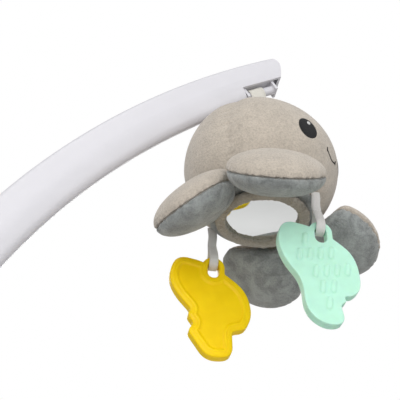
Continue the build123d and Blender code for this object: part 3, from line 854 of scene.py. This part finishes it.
class TOYBAR_OT_arm(bpy.types.Operator):
    """Finish the arm's shells, its plug, its bar insert and its screws"""

    bl_idname = "toybar.arm"
    bl_label = "Arm"

    def execute(self, context):
        plastic = moulded_plastic("Moulded ABS", colours()["plastic"], 0.36)
        for node in ("arm_shell_near", "arm_shell_far", "base_stem", "strap_bar_insert"):
            dress_node(node, plastic)
        dress_node("shell_screws", plated_steel("Zinc-plated steel"))
        return {"FINISHED"}


class TOYBAR_OT_dome(bpy.types.Operator):
    """Sew and stuff the plush dome"""

    bl_idname = "toybar.dome"
    bl_label = "Plush dome"

    def execute(self, context):
        s = sizes()
        dome, ways = ball("dome_plush", 6)
        reach = dome_reach(ways, s["dome_radius"] - 1.3, s["belly_depth"])
        set_coords(dome, DOME + ways * reach[:, None])
        away = self.seam_distance(ways) * reach
        low = ways[:, 2] * reach
        rim = np.abs(low + s["belly_depth"]) < 1.6
        pinned = np.nonzero((away < 1.4) & (low > -s["belly_depth"]) | rim)[0]
        swell(dome, pinned, 3.0, 5.0, 0.03)
        subdivide(dome)
        for azimuth in SEAM_AZIMUTHS:
            line = [
                DOME + way * dome_reach(np.array([way]), s["dome_radius"] + 0.4, s["belly_depth"])[0]
                for way in (face_direction(azimuth, e) for e in np.arange(-44, 89.5, 1.5))
            ]
            press_seam(dome, line, s["seam_depth"], 1.1, 0.8, 6.5)
        finish_piece(
            dome, top_velour(), "toy",
            ("dome_front_panel", "dome_rear_panel_near", "dome_rear_panel_far", "dome_stuffing"),
        )
        return {"FINISHED"}

    def seam_distance(self, ways):
        """Least distance of each direction from the seams' half planes, as a share of the radius."""
        best = np.full(len(ways), 9.0)
        for azimuth in SEAM_AZIMUTHS:
            a = radians(azimuth)
            along = ways @ np.array([cos(a), sin(a), 0])
            off = np.abs(ways @ np.array([-sin(a), cos(a), 0]))
            best = np.where(along > 0, np.minimum(best, off), best)
        return best


class TOYBAR_OT_belly(bpy.types.Operator):
    """Make the belly panel, the padded ring and the mirror it holds"""

    bl_idname = "toybar.belly"
    bl_label = "Belly and mirror"

    def execute(self, context):
        s = sizes()
        low, high = (np.array(corner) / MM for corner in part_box("belly_panel"))
        panel = self.cushion_disc("belly_velour", 43.6, low[2] - 0.1, high[2] + 0.6)
        finish_piece(panel, under_velour(), "toy", ("belly_panel",))
        ring = self.padded_ring()
        # the ring's cloth is the dome's beige velour, given a darker colour as painted shade
        finish_piece(
            ring, velour("Taupe polyester velour", colours()["ring_velour"]), "toy", ("mirror_ring",),
        )
        sheet = self.bowed_sheet()
        finish_piece(
            sheet, silvered_acrylic("Silvered acrylic mirror"), "toy", ("mirror_disc",)
        )
        dress_node("mirror_backing", moulded_plastic("Die-cut backing board", to_linear("C9C8C2"), 0.7))
        thread = spun_thread("Polyester sewing thread", colours()["seam_thread"])
        line = circle(37, low[2] - 0.25, 200)
        stitches = stitch_row(
            "ring_seam_stitches", [(line, np.tile([0, 0, -1], (len(line), 1)), True)], thread,
            s["stitch_pitch"], s["stitch_pitch"] * 0.7, s["thread_radius"],
        )
        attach(stitches, "toy")
        return {"FINISHED"}

    def cushion_disc(self, name, radius, bottom, top):
        """A closed disc of cloth, flat below, with a rounded rim."""
        rows = [(12, 0), (24, 0), (32, 0), (38, 0), (41.5, 0.1), (radius - 0.6, 0.35), (radius, 0.9)]
        rings = [(r, bottom + d) for r, d in rows] + [(radius, top - 0.2), (radius - 1, top), (20, top)]
        points, around = [(DOME[0], DOME[1], bottom)], 128
        for r, z in rings:
            points.extend(circle(r, z, around))
        last = len(points)
        points.append((DOME[0], DOME[1], top))
        faces = disc_faces(0, len(rings), around, True)
        faces += [(last, last - around + k, last - around + (k + 1) % around) for k in range(around)]
        return new_object(name, points, faces)

    def bowed_sheet(self):
        """The mirror's thin sheet, which its glue lets bow outwards by 2 mm."""
        low, high = (np.array(corner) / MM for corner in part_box("mirror_disc"))
        radius, rings, around = 31.4, 24, 128
        points = []
        for level, bow in ((low[2] + 0.3, 2.3), (high[2] - 0.1, 0)):
            points.append((DOME[0], DOME[1], level - bow))
            for j in range(1, rings + 1):
                share = j / rings
                points.extend(circle(radius * share, level - bow * (1 - share**2), around))
        rim, back = 1 + (rings - 1) * around, len(points) // 2
        faces = disc_faces(0, rings, around, True) + disc_faces(back, rings, around)
        for k in range(around):
            n = (k + 1) % around
            faces.append((rim + k, rim + n, back + rim + n, back + rim + k))
        return new_object("mirror_sheet", points, faces)

    def padded_ring(self):
        """The stuffed ring round the mirror, gathered along its inner and outer seams."""
        low, high = (np.array(corner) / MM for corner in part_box("mirror_ring"))
        middle, half_width, height = 32.7, 3.9, high[2] - low[2]
        around, girth = 288, 28
        points, faces, pinned = [], [], []
        for k in range(around):
            a = 2 * pi * k / around
            for j in range(girth):
                b = 2 * pi * j / girth
                c, d = cos(b), sin(b)
                across = half_width * abs(c) ** 0.8 * (1 if c > 0 else -1)
                down = 0.5 * height * abs(d) ** 0.85 * (1 if d > 0 else -1)
                r = middle + across
                points.append((DOME[0] + r * cos(a), DOME[1] + r * sin(a), high[2] - height / 2 + down))
                if d > 0.85:
                    pinned.append(len(points) - 1)
                faces.append((
                    k * girth + j, ((k + 1) % around) * girth + j,
                    ((k + 1) % around) * girth + (j + 1) % girth, k * girth + (j + 1) % girth,
                ))
        ring = new_object("mirror_ring_plush", points, faces)
        swell(ring, pinned, 0.8, 4.0, 0.06)
        subdivide(ring)
        spots = coords(ring)
        phase = np.arctan2(spots[:, 1] - DOME[1], spots[:, 0] - DOME[0]) * middle
        outer = np.hypot(spots[:, 0] - DOME[0], spots[:, 1] - DOME[1]) - middle
        gather = 0.5 + 0.5 * np.cos(2 * pi * phase / 5.7 + 1.3 * np.sin(phase * 0.23))
        edge = np.exp(-(((np.abs(outer) - half_width) / 1.7) ** 2))
        set_coords(ring, spots - normals(ring) * (0.35 * gather * edge)[:, None])
        turn_faces_out(ring.data)
        return ring


class TOYBAR_OT_lobes(bpy.types.Operator):
    """Sew and stuff the four lobes"""

    bl_idname = "toybar.lobes"
    bl_label = "Lobes"

    def execute(self, context):
        s = sizes()
        top_cloth, under_cloth = top_velour(), under_velour()
        thread = spun_thread("Polyester sewing thread", colours()["seam_thread"])
        for name in LOBES:
            whole, rim, outward = self.stuffed_lobe(name, s)
            top = half_of(whole, f"lobe_{name}_top_velour", True)
            under = half_of(whole, f"lobe_{name}_under_velour", False)
            bpy.data.objects.remove(whole)
            body = f"lobe_{name}"
            finish_piece(
                top, top_cloth, body, (f"lobe_{name}_top_panel", f"lobe_{name}_stuffing"),
            )
            finish_piece(under, under_cloth, body, (f"lobe_{name}_under_panel",))
            stitches = stitch_row(
                f"lobe_{name}_seam_stitches", [(rim, outward, True)], thread,
                s["stitch_pitch"], s["stitch_pitch"] * 0.8, s["thread_radius"],
            )
            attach(stitches, body)
        return {"FINISHED"}

    def stuffed_lobe(self, name, s):
        """One whole lobe, and the line of its seam with the directions that line faces."""
        radius, half = s["lobe_radius"] + 0.6, s["lobe_thickness"] / 2
        lobe, ways = ball(f"lobe_{name}_whole", 6)
        _, middle, out, across, top = lobe_place(name, s["lobe_radius"])
        side = lobe.data.attributes.new("side", "FLOAT", "POINT")
        height = np.where(np.abs(ways[:, 2]) < 1e-5, 0, ways[:, 2])
        side.data.foreach_set("value", height.astype(np.float32))
        flat = np.hypot(ways[:, 0], ways[:, 1])
        power = 2.3
        reach = ((flat / radius) ** power + (np.abs(ways[:, 2]) / half) ** power) ** (-1 / power)
        world_ways = ways[:, :1] * out + ways[:, 1:2] * across + ways[:, 2:] * top
        planes = lobe_limits(name, s["lobe_radius"])
        limits = [plane_distance(middle, world_ways, point, facing) for point, facing in planes]
        reach = nearest_crossing([reach, *limits], 12)
        set_coords(lobe, middle + world_ways * reach[:, None])
        seam = np.nonzero(np.abs(ways[:, 2]) < 1e-5)[0]
        swell(lobe, seam, 2.2, 5.0, 0.045)
        rim = coords(lobe)[seam]
        local = (rim - middle) @ np.column_stack([out, across])
        order = np.argsort(np.arctan2(local[:, 1], local[:, 0]))
        rim = rim[order]
        subdivide(lobe)
        press_seam(lobe, rim, 0.5, 1.1, 1.0, 7.5, closed=True)
        outward = rim - middle
        outward /= np.linalg.norm(outward, axis=1)[:, None]
        return lobe, rim - outward * 0.75, outward


class TOYBAR_OT_face(bpy.types.Operator):
    """Embroider the eyes, their glints and the mouth on the dome"""

    bl_idname = "toybar.face"
    bl_label = "Face"

    def execute(self, context):
        s = sizes()
        black = embroidery("Black rayon satin stitch", colours()["black_thread"], 0.45)
        white = embroidery("White rayon satin stitch", colours()["white_thread"], 0.4)
        surface = surface_of(bpy.data.objects["dome_plush"])
        for name, angle in EYE_ANGLES.items():
            azimuth = FACE_AZIMUTH + angle
            eye = self.patch(f"eye_{name}_embroidery", surface, azimuth, 0, 0, s["eye_radius"], 0.7)
            finish_piece(eye, black, "toy", (f"eye_{name}",))
            glint = self.patch(
                f"glint_{name}_embroidery", surface, azimuth, GLINT_RIGHT, GLINT_UP, GLINT_RADIUS, 1.25
            )
            finish_piece(glint, white, "toy", (f"glint_{name}",))
        ways = [self.mouth_way(t) for t in np.linspace(-1, 1, 61)]
        line, outward = on_surface(surface, ways, 0.2)
        lines = [(line, outward, False)]
        for end in (-1, 1):
            tick = [self.mouth_way(end, rise) for rise in np.linspace(-1.2, 1.8, 7)]
            spots, ups = on_surface(surface, tick, 0.2)
            lines.append((spots, ups, False))
        mouth = stitch_row("smile_embroidery", lines, black, 0.5, 1.1, 0.3, radians(62))
        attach(mouth, "toy")
        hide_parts("smile_stitch")
        return {"FINISHED"}

    def mouth_way(self, share, rise=0.0):
        """Direction of a point of the mouth, from its corner at -1 to that at 1, raised by millimetres."""
        sag = MOUTH_SAG * (1 - share**2) + MOUTH_TILT * share
        across, up = MOUTH_HALF_WIDTH * share, rise - sag
        return face_direction(FACE_AZIMUTH + degrees(across / 62), MOUTH_ELEVATION + degrees(up / 62))

    def patch(self, name, surface, azimuth, right, up, radius, lift):
        """An embroidered patch on the dome, taller than wide, thick in the middle, UV in millimetres."""
        rings, around = 14, 64
        middle = face_direction(azimuth, EYE_ELEVATION)
        side = np.array([-sin(radians(azimuth)), cos(radians(azimuth)), 0])
        above = np.cross(middle, side)
        spots, lifts, uv = [], [], []
        for j in range(rings + 1):
            r = radius * j / rings
            for k in range(around if j else 1):
                a = 2 * pi * k / around
                x, y = right + r * cos(a), up + EYE_TALLNESS * r * sin(a)
                way = middle * 62 + side * x + above * y
                spots.append(way / np.linalg.norm(way))
                lifts.append(lift * (1 - (j / rings) ** 6) - 0.25)
                uv.append((x, y))
        points, _ = on_surface(surface, spots, lifts)
        count, edge = len(points), 1 + (rings - 1) * around
        back, _ = on_surface(surface, spots, -0.8)
        faces = disc_faces(0, rings, around) + disc_faces(count, rings, around, True)
        for k in range(around):
            n = (k + 1) % around
            faces.append((edge + k, count + edge + k, count + edge + n, edge + n))
        return new_object(name, np.vstack([points, back]), faces, uv + uv)


class TOYBAR_OT_strap(bpy.types.Operator):
    """Loop the woven tape round its bar and down to the dome"""

    bl_idname = "toybar.strap"
    bl_label = "Hanging strap"

    def execute(self, context):
        s = sizes()
        bend = 4.95
        legs = [(0.55, -31.5), (0.55, -25.9), (0.55, -18), (0.6, -13.5), (1.6, -10.2), (3.6, -5.2)]
        arc = [(bend * cos(a), bend * sin(a)) for a in np.radians(np.arange(-25, 206, 16.5))]
        flat = looped_path(legs, arc, 0.7)
        path, widths, outs = [], [], []
        steps = np.gradient(flat[:, :2], axis=0)
        for (y, h, _), step in zip(flat, steps):
            share = np.clip((-h - 3) / 13, 0, 1)
            share = share * share * (3 - 2 * share)
            width_way = BAR_WAY * (1 - share) + np.array([1.0, 0, 0]) * share
            width_way /= np.linalg.norm(width_way)
            upward = np.array([-width_way[2], 0, width_way[0]])
            drop = upward * h * (1 - share) + np.array([0, 0, h]) * share
            path.append(HANG + np.array([0, y, 0]) + drop)
            widths.append(width_way * s["tape_width"])
            step = step / np.linalg.norm(step)
            outs.append(np.array([0, 1, 0]) * step[1] - upward * step[0])
        strap = band("strap_tape", path, widths, outs, 0.95)
        finish_piece(
            strap, woven("Woven cotton tape", colours()["tape"], 0.9, 0.25, 0.85, 45), "strap",
            ("hanging_strap",),
        )
        return {"FINISHED"}


class TOYBAR_OT_ribbons(bpy.types.Operator):
    """Fold the two satin ribbons round their teethers' ears and stitch them across"""

    bl_idname = "toybar.ribbons"
    bl_label = "Ribbons"

    def execute(self, context):
        s = sizes()
        satin = woven("Woven satin ribbon", colours()["ribbon"], 0.5, 0.5, 0.42, 0)
        thread = spun_thread("Polyester ribbon thread", to_linear("BDBBB6"))
        for name in RIBBONS:
            azimuth = radians(RIBBON_AZIMUTHS[name])
            root = DOME + np.array([46 * cos(azimuth), 46 * sin(azimuth), -44.5])
            bend = 6.6
            legs = [(0.46, 5.5), (0.46, -6), (0.48, -12), (1.3, -15), (3.6, -19.3), (5.9, -23.8)]
            arc = [(bend * cos(a), -27 + bend * sin(a)) for a in np.radians(np.arange(0, -181, -18))]
            flat = looped_path(legs, arc, 0.6)
            steps = np.gradient(flat[:, :2], axis=0)
            path, widths, outs = [], [], []
            for (y, z, _), step in zip(flat, steps):
                step = step / np.linalg.norm(step)
                sway = 0.35 * sin(z * 0.35 + (1 if name == "mint" else 2.4))
                path.append(root + np.array([sway * (1 - abs(y) / bend), y, z]))
                widths.append(np.array([s["ribbon_width"], 0, 0]))
                outs.append(np.array([0, step[1], -step[0]]))
            ribbon = band(f"ribbon_{name}_satin", path, widths, outs, 0.7)
            body = f"ribbon_{name}"
            finish_piece(ribbon, satin, body, (f"ribbon_{name}",))
            lines = []
            for level in (-12.8, -13.9):
                for facing in (-1, 1):
                    reach = 0.48 + 0.42
                    row = [root + np.array([x, facing * reach, level]) for x in np.linspace(-3, 3, 13)]
                    lines.append((row, np.tile([0, facing, 0], (13, 1)), False))
            stitches = stitch_row(f"ribbon_{name}_stitches", lines, thread, 1.5, 1.2, 0.2)
            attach(stitches, body)
            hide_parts(f"ribbon_{name}_stitch")
        return {"FINISHED"}


class TOYBAR_OT_teethers(bpy.types.Operator):
    """Mould the two silicone teethers with rounded edges, bumps and a raised rim line"""

    bl_idname = "toybar.teethers"
    bl_label = "Teethers"

    def execute(self, context):
        for name in RIBBONS:
            code = colours()[name]
            teether = self.moulded(name, 1 if name == "mint" else -1)
            finish_piece(
                teether, silicone(f"{name.capitalize()} silicone", code), f"teether_{name}",
                (f"teether_{name}",),
            )
        return {"FINISHED"}

    def moulded(self, name, rim_side):
        """The teether's solid with its edges rounded off, and a band 6 mm wide raised round one face."""
        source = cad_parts[f"teether_{name}"].data.copy()
        turn_faces_out(source, 1e-6)
        obj = placed(f"teether_{name}_silicone", source)
        remesh = obj.modifiers.new("Remesh", "REMESH")
        remesh.mode, remesh.voxel_size = "VOXEL", 0.42 * MM
        remesh.use_smooth_shade = True
        soften = obj.modifiers.new("Soften", "SMOOTH")
        soften.factor, soften.iterations = 0.5, 16
        bake_modifiers(obj)
        points, outward = coords(obj), normals(obj)
        walls = points[np.abs(outward[:, 1]) < 0.25]
        tree = KDTree(len(walls))
        for index, point in enumerate(walls):
            tree.insert((point[0], 0, point[2]), index)
        tree.balance()
        facing = outward[:, 1] * rim_side > 0.8
        lift = np.zeros(len(points))
        for index in np.nonzero(facing)[0]:
            inset = tree.find((points[index][0], 0, points[index][2]))[2]
            step = np.clip((inset - 5.2) / 2.2, 0, 1)
            band_rise = 0.9 * (1 - step * step * (3 - 2 * step))
            crest = 0.35 * np.exp(-(((inset - 5) / 0.8) ** 2))
            lift[index] = (band_rise + crest) * min(1, inset / 2.5)
        set_coords(obj, points + outward * lift[:, None])
        obj.data.shade_smooth()
        return obj


class TOYBAR_PT_panel(bpy.types.Panel):
    """Lists the toy bar's pieces and sizes"""

    bl_label = "Toy bar"
    bl_idname = "TOYBAR_PT_panel"
    bl_space_type = "VIEW_3D"
    bl_region_type = "UI"
    bl_category = "Toy bar"

    def draw(self, context):
        layout = self.layout
        for operator in OPERATORS:
            layout.operator(operator.bl_idname)
        for group in (context.scene.toy_bar_sizes, context.scene.toy_bar_colours):
            box = layout.box()
            for name in type(group).__annotations__:
                box.prop(group, name)


OPERATORS = (
    TOYBAR_OT_stage, TOYBAR_OT_arm, TOYBAR_OT_dome, TOYBAR_OT_belly, TOYBAR_OT_lobes, TOYBAR_OT_face,
    TOYBAR_OT_strap, TOYBAR_OT_ribbons, TOYBAR_OT_teethers,
)
CLASSES = (ToyBarColours, ToyBarSizes, *OPERATORS, TOYBAR_PT_panel)


def register():
    for cls in CLASSES:
        bpy.utils.register_class(cls)
    bpy.types.Scene.toy_bar_colours = PointerProperty(type=ToyBarColours)
    bpy.types.Scene.toy_bar_sizes = PointerProperty(type=ToyBarSizes)


def unregister():
    del bpy.types.Scene.toy_bar_sizes
    del bpy.types.Scene.toy_bar_colours
    for cls in reversed(CLASSES):
        bpy.utils.unregister_class(cls)


def main():
    register()
    for operator in OPERATORS:
        group, name = operator.bl_idname.split(".")
        getattr(getattr(bpy.ops, group), name)()


if __name__ == "__main__":
    main()
